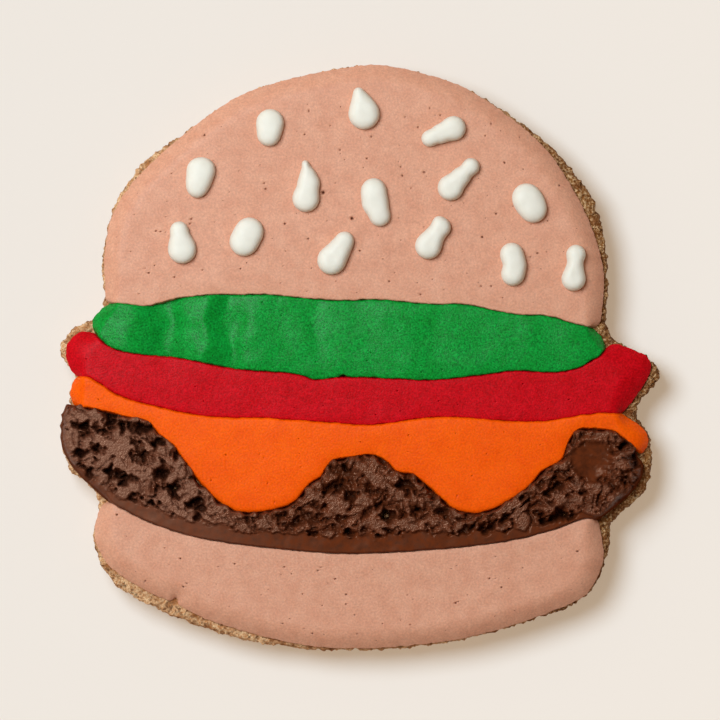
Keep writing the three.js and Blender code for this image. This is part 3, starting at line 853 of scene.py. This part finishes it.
bun_icing = royal_icing(
    "peach_royal_icing", colour=0xD39778, deeper=0xCB8C6D, dark=0x5E2E1C, mottle=2.4, grain=0.35,
    contrast=0.12, seam_dark=0.55, roughness=0.48, sheen=0.2)
bun_top = icing_pool(
    "bun_top_icing", rim=(3.4, 0.05), seam=(0.35, 0.34),
    corners=[(-1, -0.8), (1, -0.8), (0.8, 0.6), (-0.8, 0.6)], columns=400, rows=208, swell=0.15,
    relief=bun_relief, seed=101,
    pits=np.concatenate([placed_pits(BUN_PITS), spaced_pits("bun_top_icing", 0.8, (0.07, 0.13), 1)]),
    ragged=bun_edge)
make_piece("bun_top_flood", *bun_top[:2], bun_icing, ["bun_top_icing"], "bun_icing", bun_top[2])

# ---------------------------------------------------------------------------
# The lower half of the bun: a second pool of the same peach icing, flooded
# inside its own outline, with a rounded free edge near the dough's edge.

HEEL_PITS = np.array([
    (-40.1, -26.3, 0.20), (-18.1, -31.7, 0.17), (-20.5, -34.5, 0.18), (-29.0, -38.3, 0.18),
    (-12.2, -35.0, 0.16), (-6.6, -35.6, 0.18), (-3.7, -37.0, 0.18), (-1.9, -39.6, 0.18),
    (-1.9, -41.2, 0.16), (-7.5, -46.1, 0.17), (16.4, -41.0, 0.22), (22.0, -36.9, 0.18),
    (36.7, -32.4, 0.20), (-29.5, -33.6, 0.16), (24.0, -38.4, 0.17)])


def heel_edge(line):
    """The lower bun's edge strays a little, is fuller at its left side, and has
    one small bite out of its lower left curve."""
    fuller = bulge(line, (-43.4, -28.5), 4.0, 0.3)
    bite = bulge(line, (-30.7, -41.2), 0.55, -1.0)
    return wander(line, 105) + fuller + bite


# The lower bun's seams get only a faint painted shade.
bun_bottom = icing_pool(
    "bun_bottom_icing", rim=(3.4, 0.0), seam=(0.35, 0.34),
    corners=[(-0.7, -1), (0.7, -1), (1, 0.8), (-1, 0.8)], columns=400, rows=128, swell=0.15,
    relief=bun_relief, seed=105,
    pits=np.concatenate([placed_pits(HEEL_PITS), spaced_pits("bun_bottom_icing", 0.8, (0.07, 0.13), 2)]),
    ragged=heel_edge, seam_shade=0.2)
make_piece("bun_bottom_flood", *bun_bottom[:2], bun_icing, ["bun_bottom_icing"], "bun_icing", bun_bottom[2])

# ---------------------------------------------------------------------------
# The lettuce: a lens of green royal icing, lumpy at its left end where it was
# nudged while it set, with a velvety, finely sugared skin.

# Each ridge, or valley where its height is negative: its middle, height and width.
LETTUCE_RIDGES = np.array([
    (-38.7, 0.45, 2.6), (-31.7, -1.3, 2.8), (-25.8, 0.60, 2.0), (-21.2, -0.6, 1.9), (-16.8, 0.3, 2.4),
    (-6.6, -0.20, 1.6), (8.0, 0.25, 5.0)])


def end_corners(steepness):
    """The directions in which a long pool's grid has its corners, two on the
    round of each end: the steeper, the further they are apart."""
    return [(side, steepness * level) for side, level in ((-1, -1), (1, -1), (1, 1), (-1, 1))]


def lettuce_relief(flat, distance):
    """Listed ridges and valleys across it, deepest at the left end, each a bell h exp(-((x - x0) / w)^2),
    over lumps 8, 5 and 2.5 mm wide and a grain of 0.6 mm."""
    deep = np.column_stack([flat, np.zeros(len(flat))])
    bent = flat[:, 0] - DRAWING_ORIGIN[0] + 1.0 * soft_noise(deep, 4, 30)
    rise = np.zeros(len(flat))
    for place, height, width in LETTUCE_RIDGES:
        rise += height * np.exp(-((bent - place) / width) ** 2)
    rise += 0.10 * soft_noise(deep, 8, 31) + 0.13 * soft_noise(deep, 5, 32)
    rise += 0.04 * soft_noise(deep, 2.5, 34)
    rise += 0.016 * soft_noise(deep, 0.6, 33)
    return rise - 0.3, {}


def lettuce_edge(line):
    """The lettuce's edge strays a little, and has one small nick in its lower side."""
    return wander(line, 109) + bulge(line, (-2.4, -3.4), 0.45, -0.5)


green_icing = royal_icing(
    "green_royal_icing", colour=0x08882E, deeper=0x057C24, dark=0x1C1A08, mottle=1.6, grain=0.3,
    contrast=0.45, seam_dark=0.55, roughness=0.38, sheen=0.12)
lettuce = icing_pool(
    "lettuce_icing", rim=(2.6, 0.1), seam=(0.4, 0.34), corners=end_corners(1.3), columns=520, rows=72,
    swell=0.3, relief=lettuce_relief, seed=109, pits=spaced_pits("lettuce_icing", 0.5, (0.08, 0.13), 3),
    ragged=lettuce_edge)
make_piece("lettuce_flood", *lettuce[:2], green_icing, ["lettuce_icing"], "lettuce_icing", lettuce[2])

# ---------------------------------------------------------------------------
# The tomato: a thin slice of red royal icing between lettuce and cheese, with a
# finely grained, rather matt skin and a blunt corner at its right end.


def tomato_relief(flat, distance):
    """Slow waves 7 mm and 3 mm wide and a grain of 0.6 mm."""
    deep = np.column_stack([flat, np.zeros(len(flat))])
    rise = 0.08 * soft_noise(deep, 7, 41) + 0.03 * soft_noise(deep, 3, 42)
    rise += 0.010 * soft_noise(deep, 0.6, 43)
    return rise - 0.08, {}


def tomato_edge(line):
    """The tomato's edge strays a little, and its right end comes to a blunt corner."""
    return wander(line, 113) + bulge(line, (48.6, -0.4), 1.8, 0.5)


red_icing = royal_icing(
    "red_royal_icing", colour=0xC00A16, deeper=0xB3060E, dark=0x300406, mottle=1.6, grain=0.3,
    contrast=0.28, seam_dark=0.15, roughness=0.4, sheen=0.06)
tomato = icing_pool(
    "tomato_icing", rim=(4.2, 0.2), seam=(0.35, 0.34), corners=end_corners(0.6), columns=560, rows=56,
    swell=0.15, relief=tomato_relief, seed=113, pits=spaced_pits("tomato_icing", 0.5, (0.08, 0.13), 4),
    ragged=tomato_edge)
make_piece("tomato_flood", *tomato[:2], red_icing, ["tomato_icing"], "tomato_icing", tomato[2])

# ---------------------------------------------------------------------------
# The cheese: a sheet of orange royal icing whose lower edge runs down over the
# patty in two broad drips. It is smoother than the green and the red.


def cheese_relief(flat, distance):
    """Slow waves 8 mm and 3 mm wide."""
    deep = np.column_stack([flat, np.zeros(len(flat))])
    return 0.08 * soft_noise(deep, 8, 51) + 0.025 * soft_noise(deep, 3, 52) - 0.08, {}


orange_icing = royal_icing(
    "orange_royal_icing", colour=0xEF5903, deeper=0xE75001, dark=0x6E1E04, mottle=3.0, grain=0.35,
    contrast=0.13, seam_dark=0.1, roughness=0.4, sheen=0.07)
cheese = icing_pool(
    "cheese_icing", rim=(3.2, 0.15), seam=(0.5, 0.4), corners=end_corners(1.0), columns=560, rows=72,
    swell=0.3, relief=cheese_relief, seed=117, pits=spaced_pits("cheese_icing", 0.5, (0.08, 0.14), 5))
make_piece("cheese_flood", *cheese[:2], orange_icing, ["cheese_icing"], "cheese_icing", cheese[2])

# ---------------------------------------------------------------------------
# The patty.
# Stiff chocolate-brown icing roughened with a tool while it set: lumps, crumbs
# and craters, with a smooth margin left along its lower and left edge and one
# smooth dent, 8 mm wide, at its right end.

PATTY_PITS = np.array([
    (-44.6, -19.5, 1.1), (-41.5, -10.4, 1.25), (-45.0, -11.6, 1.0), (-36.8, -14.6, 1.35),
    (-32.8, -19.6, 1.15), (-33.1, -14.4, 1.05), (-37.8, -23.5, 0.7), (-26.5, -27.0, 0.9),
    (-35.8, -11.2, 0.7), (-46.6, -15.8, 0.85), (-38.9, -20.2, 1.1), (-43.8, -17.1, 0.6),
    (-41.2, -18.5, 0.65), (-30.5, -22.0, 1.0), (-40.7, -22.2, 0.7), (-48.4, -12.3, 0.5),
    (-34.3, -24.4, 0.7), (-2.5, -26.8, 1.2), (-0.7, -29.4, 1.0), (5.0, -26.6, 1.2),
    (7.5, -21.0, 1.2), (12.3, -30.5, 0.9), (17.8, -29.0, 1.2), (20.8, -29.0, 1.1),
    (25.2, -29.0, 0.9), (33.8, -26.0, 1.3), (46.2, -16.2, 0.9)])
HEAP_SIZE = 4.6
LOW_HEAP_SIZE = 2.8
LUMP_SIZE = 1.9
LUMP_HEIGHT = 1.1
KNOB_SIZE = 0.9
KNOB_TOP = 0.6
TEAR_SIZE = 2.6
TEAR_DEPTH = 1.5
CHUNK_SIZE = 1.1
CHUNK_HEIGHT = 0.7
PASTE_GRAIN_SIZE = 0.5
PASTE_GRAIN_HEIGHT = 0.55
ROUGHEST_X = -30
CALM_X = -12
PIT_STRETCH = 1.15
DENT = np.array([38.9, -17.4]) + DRAWING_ORIGIN
DENT_LOWEST = DENT + (0.6, -1.2)
DENT_RADIUS = 3.9
# Where the painted sheen of the left end, nearest the light, starts and where it is full.
BLOOM_AND_SHEEN_FROM_X = -5
BLOOM_AND_SHEEN_FULL_X = -34
PATTY_SINK = 0.4
# The smooth margin's width at places from left to right.
MARGIN_X = [-48, -45, -41, -36, -30, -10, 8, 20, 30, 38, 42]
MARGIN_WIDTH = [0.3, 0.5, 1.6, 2.2, 2.5, 2.7, 2.9, 2.0, 1.2, 0.7, -0.6]


def patty_relief(flat, distance):
    """Heaps of smooth noise n, round lumps tanh(2 |n|) and flat-topped knobs
    min(|n|, KNOB_TOP), at places pushed about by slower and finer noise.
    Hollows are torn where a mix of noise TEAR_SIZE, 1.24 and 0.6 mm wide is low. Where the paste is rough
    it has chunks and grains, each a cone in a cell of its own. Listed pits of radius r are (1 -
    (a/r)^2)^1.2 (r + 0.4) deep and stretched along a random line. All is strongest at the left, and fades
    out in the margin along the lower edge and in the dent."""
    deep = np.column_stack([flat, np.zeros(len(flat))])

    def push(size, seed):
        return np.column_stack([
            soft_noise(deep, size, seed), soft_noise(deep, size, seed + 1), np.zeros(len(flat))])

    slow = push(3.5, 61)
    quick = push(1.1, 74)
    pushed = deep + 0.9 * slow + 0.3 * quick + 0.15 * push(0.5, 86)
    rough = ease(soft_noise(deep, 3.4, 67) + 0.4 * soft_noise(deep, 1.3, 76), -0.25, 0.25)
    calm = ease(flat[:, 0], ROUGHEST_X, CALM_X)

    # Heaps, lumps and knobs.
    rise = (0.5 + 0.3 * calm) * soft_noise(pushed, HEAP_SIZE, 63)
    rise += 0.6 * calm * soft_noise(pushed, LOW_HEAP_SIZE, 85)
    rise += LUMP_HEIGHT * np.tanh(2 * np.abs(soft_noise(pushed, LUMP_SIZE, 64)))
    knobs = np.minimum(np.abs(soft_noise(pushed, KNOB_SIZE, 68)), KNOB_TOP)
    rise += (0.42 - 0.2 * calm) * (1 + rough) * knobs

    # Torn hollows, and the crumbs of the rough paste.
    torn = soft_noise(pushed, TEAR_SIZE, 81) + 0.5 * soft_noise(pushed, 1.24, 82)
    torn += 0.2 * soft_noise(deep, 0.6, 83)
    rise -= TEAR_DEPTH * ease(-torn, -0.05, 0.75)
    chunk, _, chunk_kind = cell_noise(pushed, CHUNK_SIZE, 84)
    grain, _, grain_kind = cell_noise(deep + 0.12 * quick, PASTE_GRAIN_SIZE, 66)
    crumbs = CHUNK_HEIGHT * chunk_kind * np.clip(1 - chunk, 0, 1)
    crumbs += PASTE_GRAIN_HEIGHT * grain_kind * (1 - grain)
    rise += rough * (1 - 0.5 * calm) * crumbs
    rise += (0.02 + 0.14 * rough) * np.abs(soft_noise(deep, 0.5, 65))

    # Listed pits, each turned and stretched at random.
    pits = placed_pits(PATTY_PITS)
    turn = np.random.default_rng(90).random((len(pits), 2)) * (math.pi, 0.5)
    across = flat[:, None] + 0.6 * quick[:, None, :2] + 0.5 * slow[:, None, :2] - pits[None, :, :2]
    along = across[..., 0] * np.cos(turn[:, 0]) + across[..., 1] * np.sin(turn[:, 0])
    beside = across[..., 1] * np.cos(turn[:, 0]) - across[..., 0] * np.sin(turn[:, 0])
    away = np.hypot(along * (1 - turn[:, 1] / 2), beside * (1 + turn[:, 1])) / (PIT_STRETCH * pits[:, 2])
    hollow = (np.clip(1 - away ** 2, 0, 1) ** 1.2 * (0.4 + pits[:, 2])).max(axis=1)
    rise = rise * (1 - 0.3 * np.minimum(hollow, 1)) - hollow
    rise = (1.5 - 0.1 * calm) * (rise - 0.1)

    # The smooth dent, lowest a little right of and below its middle.
    dent_away = np.linalg.norm(flat - DENT, axis=1) / DENT_RADIUS + 0.1 * slow[:, 0]
    dent = 1 - ease(dent_away, 0.7, 1.05)
    lowest = np.exp(-(np.linalg.norm(flat - DENT_LOWEST, axis=1) / 1.9) ** 2)
    bowl = 0.1 - 0.5 * (1 - dent_away ** 2).clip(0, 1) - 0.6 * lowest
    rise = rise * (1 - 0.95 * dent) + dent * bowl

    # The smooth margin, whose inner edge strays.
    margin = np.interp(flat[:, 0], MARGIN_X, MARGIN_WIDTH)
    strayed = nearest_distance(flat, patty_foot)
    strayed += 0.9 * soft_noise(deep, 2.0, 70) + 0.35 * soft_noise(deep, 0.8, 78)
    inner = ease(strayed, margin - 0.4, margin + 0.5)
    smooth = 0.05 + 0.08 * soft_noise(deep, 4, 71) + 0.03 * soft_noise(deep, 1.4, 80)

    # Marks: painted shade darkens the hollows; the left end, nearest the light, gets a painted sheen, and
    # the heights are paler with sugar bloom and painted highlight.
    worked = inner * (1 - dent) * ease(distance, 0.1, 0.6)
    # Painted shade: how dark the hollows are painted, darkest where the relief is lowest.
    cavity = np.clip(0.1 - (0.6 - 0.25 * calm) * rise, 0, 0.9) * worked
    # Paler heights: partly sugar bloom, partly painted highlight.
    pale_heights = ease(rise + 0.5 * soft_noise(deep, 1.6, 87), -0.7, 1.3)
    bloom = ease(-flat[:, 0], -BLOOM_AND_SHEEN_FROM_X, -BLOOM_AND_SHEEN_FULL_X) * (0.6 + worked * (1.1 * pale_heights - 0.2))
    bloom = np.maximum(bloom, 0.45 * worked * pale_heights)
    return smooth + (rise - smooth) * inner - PATTY_SINK, {
        "cavity": cavity, "worked": worked, "bloom": bloom, "inwards": ease(distance, 0.4, 1.6)}


def chocolate_icing():
    """Chocolate-brown royal icing, stiff and torn open: a semi-gloss skin that catches light on its bumps
    but not on its steep rim, with shade painted dark red-brown into its hollows. Its left end, nearest the
    light, is painted paler and greyer as a sheen, and its heights are paler with sugar bloom and painted
    highlight together; these paler places are also made duller."""
    material, tree, output = new_material("chocolate_royal_icing")
    place = add_node(tree, "TexCoord").outputs["Object"]
    cavity = add_node(tree, "Attribute", attribute_name="cavity").outputs["Fac"]
    worked = add_node(tree, "Attribute", attribute_name="worked").outputs["Fac"]
    bloom = add_node(tree, "Attribute", attribute_name="bloom").outputs["Fac"]
    inwards = add_node(tree, "Attribute", attribute_name="inwards").outputs["Fac"]
    clouds = add_node(tree, "TexNoise", {
        "Vector": place, "Scale": 1 / (1.2 * MM), "Detail": 4.0, "Roughness": 0.65})
    cloud_share = add_node(tree, "MapRange", {
        "Value": clouds.outputs["Fac"], "From Min": 0.35, "From Max": 0.65})
    skin = add_node(tree, "Mix", {
        0: cloud_share.outputs[0], 6: linear(0x642C13), 7: linear(0x4A200E)}, data_type="RGBA")
    # Painted sheen and bloom: the skin is mixed towards a paler grey-brown.
    bloom_and_sheen_share = add_node(tree, "Math", {0: bloom, 1: 0.42}, operation="MULTIPLY")
    bloom_and_sheen_mix = add_node(tree, "Mix", {
        0: bloom_and_sheen_share.outputs[0], 6: skin.outputs[2], 7: linear(0x7C523F)}, data_type="RGBA")
    # Painted shade: the hollows are mixed towards a dark red-brown.
    hollow = add_node(tree, "Mix", {
        0: cavity, 6: bloom_and_sheen_mix.outputs[2], 7: linear(0x240E07)}, data_type="RGBA")
    open_shine = add_node(tree, "MapRange", {"Value": cavity, "To Min": 0.6, "To Max": 0.1})
    skin_shine = add_node(tree, "MapRange", {"Value": worked, "To Min": 0.35})
    smooth_shine = add_node(tree, "Math", {
        0: open_shine.outputs[0], 1: skin_shine.outputs[0]}, operation="MULTIPLY")
    shine = add_node(tree, "Math", {0: smooth_shine.outputs[0], 1: inwards}, operation="MULTIPLY")
    crumbs = add_node(tree, "TexVoronoi", {"Vector": place, "Scale": 1 / (0.35 * MM)}, feature="F1")
    grit = add_node(tree, "TexNoise", {"Vector": place, "Scale": 1 / (0.3 * MM), "Detail": 3.0})
    rubble = add_node(tree, "Math", {
        0: grit.outputs["Fac"], 1: -1.2, 2: crumbs.outputs["Distance"]}, operation="MULTIPLY_ADD")
    crumb_height = add_node(tree, "Math", {0: rubble.outputs[0], 1: worked}, operation="MULTIPLY")
    bump = add_node(tree, "Bump", {
        "Height": crumb_height.outputs[0], "Strength": 0.6, "Distance": 0.18 * MM}, invert=True)
    gloss = add_node(tree, "MapRange", {
        "Value": clouds.outputs["Fac"], "From Min": 0.35, "From Max": 0.65,
        "To Min": 0.22, "To Max": 0.42})
    dulled = add_node(tree, "Math", {
        0: bloom, 1: 0.06, 2: gloss.outputs[0]}, operation="MULTIPLY_ADD")
    shader = add_node(tree, "BsdfPrincipled", {
        "Base Color": hollow.outputs[2], "Roughness": dulled.outputs[0], "IOR": 1.47,
        "Specular IOR Level": shine.outputs[0], "Specular Tint": linear(0xF2C09C),
        "Normal": bump.outputs["Normal"]})
    tree.links.new(shader.outputs[0], output.inputs["Surface"])
    return material


def patty_ragged(line):
    """How the patty's edge strays: bites 0.5 mm deep against the cheese, small
    waves elsewhere, and a fuller upper left corner and right end."""
    deep = np.column_stack([line, np.zeros(len(line))])
    upper = ease(inward_normals(line)[:, 1], 0.15, -0.35)
    bites = 0.25 - 1.6 * np.abs(soft_noise(deep, 2.2, 72))
    waves = 0.10 * soft_noise(deep, 1.3, 73)
    fuller = bulge(line, (-47.4, -8.0), 1.8, 1.0) + bulge(line, (47.4, -19.5), 4.0, 0.35)
    fuller += bulge(line, (-48.9, -13.5), 4.0, 0.2)
    return waves + np.maximum(bites, -0.55) * upper + fuller


# The part of its line that faces down and sideways, where the margin runs.
patty_foot = pool_lines["patty_icing"]
patty_foot = patty_foot[inward_normals(patty_foot)[:, 1] > -0.15]
patty = icing_pool(
    "patty_icing", rim=(1.4, 0.35), seam=(0.5, 0.38), corners=end_corners(0.8), columns=624, rows=120,
    swell=0.0, relief=patty_relief, seed=121, ragged=patty_ragged)
make_piece("patty_paste", *patty[:2], chocolate_icing(), ["patty_icing"], "patty_icing", patty[2])

# ---------------------------------------------------------------------------
# The sesame seeds: drops of white royal icing piped on last, each a low dome
# with a tail where the nozzle was drawn away.

SEED_COLUMNS = 96
SEED_ROWS = 20
SEED_UNDERCUT = 0.25
SEED_FULLNESS = 1.45
SEED_FOOT_SHARES = np.array([0.88, 0.94])
SEED_TAPERS = {"seed_02": 0.09}
seed_nodes = sorted(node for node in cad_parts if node.startswith("seed_"))


def white_icing():
    """White royal icing: brighter and smoother than the floods, with a soft
    satin highlight and light passing a little way under the surface."""
    material, tree, output = new_material("white_royal_icing")
    place = add_node(tree, "TexCoord").outputs["Object"]
    clouds = add_node(tree, "TexNoise", {
        "Vector": place, "Scale": 1 / (1.5 * MM), "Detail": 2.0})
    tint = add_node(tree, "Mix", {
        0: clouds.outputs["Fac"], 6: linear(0xE5DCCA), 7: linear(0xDBD1BE)}, data_type="RGBA")
    bump = add_node(tree, "Bump", {
        "Height": clouds.outputs["Fac"], "Strength": 0.3, "Distance": 0.06 * MM})
    shader = add_node(tree, "BsdfPrincipled", {
        "Base Color": tint.outputs[2], "Roughness": 0.48, "IOR": 1.45,
        "Specular IOR Level": 0.25, "Subsurface Weight": 0.1,
        "Subsurface Radius": (0.6 * MM, 0.45 * MM, 0.35 * MM), "Subsurface Scale": 1.0,
        "Normal": bump.outputs["Normal"]})
    tree.links.new(shader.outputs[0], output.inputs["Surface"])
    return material


def piped_drop(node, seed):
    """A drop as rings that shrink towards its middle by the cosine of a turn.
    Its height is H times the root of 1 - (1 - d)^2, where d is the soft
    distance to its line over the greatest one. Below its widest ring it
    draws in again, and its foot is sunk. A taper t makes it 1 + t times as
    wide at its far end and 1 - t times at its near end."""
    low, high = (np.array(corner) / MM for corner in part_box(node))
    line = smooth_loop(cad_line(node, low[2]), 0.03)
    middle = line.mean(axis=0)
    taper = SEED_TAPERS.get(node, 0) * 2 / np.ptp(line[:, 1])
    line[:, 0] += taper * (line[:, 0] - middle[0]) * (line[:, 1] - middle[1])
    run = np.linspace(0, len(line), SEED_COLUMNS, endpoint=False)
    edge = at_places(line, run)
    shares = np.cos(np.linspace(0, math.pi / 2, SEED_ROWS + 1)[:-1])
    rings = middle + (edge - middle) * shares[:, None, None]
    distance = soft_distance(np.concatenate([rings.reshape(-1, 2), middle[None]]), line)
    dome = np.sqrt(1 - (1 - distance / distance.max()) ** 2)
    base = low[2] + SEED_UNDERCUT
    height = base + (SEED_FULLNESS * (high[2] - low[2]) - SEED_UNDERCUT) * dome
    foot = middle + (edge - middle) * SEED_FOOT_SHARES[:, None, None]
    flat = np.concatenate([foot.reshape(-1, 2), rings.reshape(-1, 2), middle[None], middle[None]])
    foot_height = np.repeat([low[2] - SUNK, low[2]], SEED_COLUMNS)
    height = np.concatenate([foot_height, height, [low[2] - SUNK]])
    deep = np.column_stack([flat, height])
    deep[:, 2] += 0.06 * soft_noise(deep, 1.8, seed) * (deep[:, 2] > low[2])
    numbers = np.arange((SEED_ROWS + 2) * SEED_COLUMNS).reshape(-1, SEED_COLUMNS)
    beside = np.roll(numbers, -1, axis=1)
    top, bottom = numbers.size, numbers.size + 1
    faces = [grid_faces(numbers, closed=True),
             np.stack([numbers[-1], beside[-1], np.full(SEED_COLUMNS, top)], axis=1),
             np.stack([beside[0], numbers[0], np.full(SEED_COLUMNS, bottom)], axis=1)]
    return deep, faces


seed_icing = white_icing()
for count, node in enumerate(seed_nodes):
    make_piece(f"{node}_drop", *piped_drop(node, 80 + count), seed_icing, [node], "seed_icing")
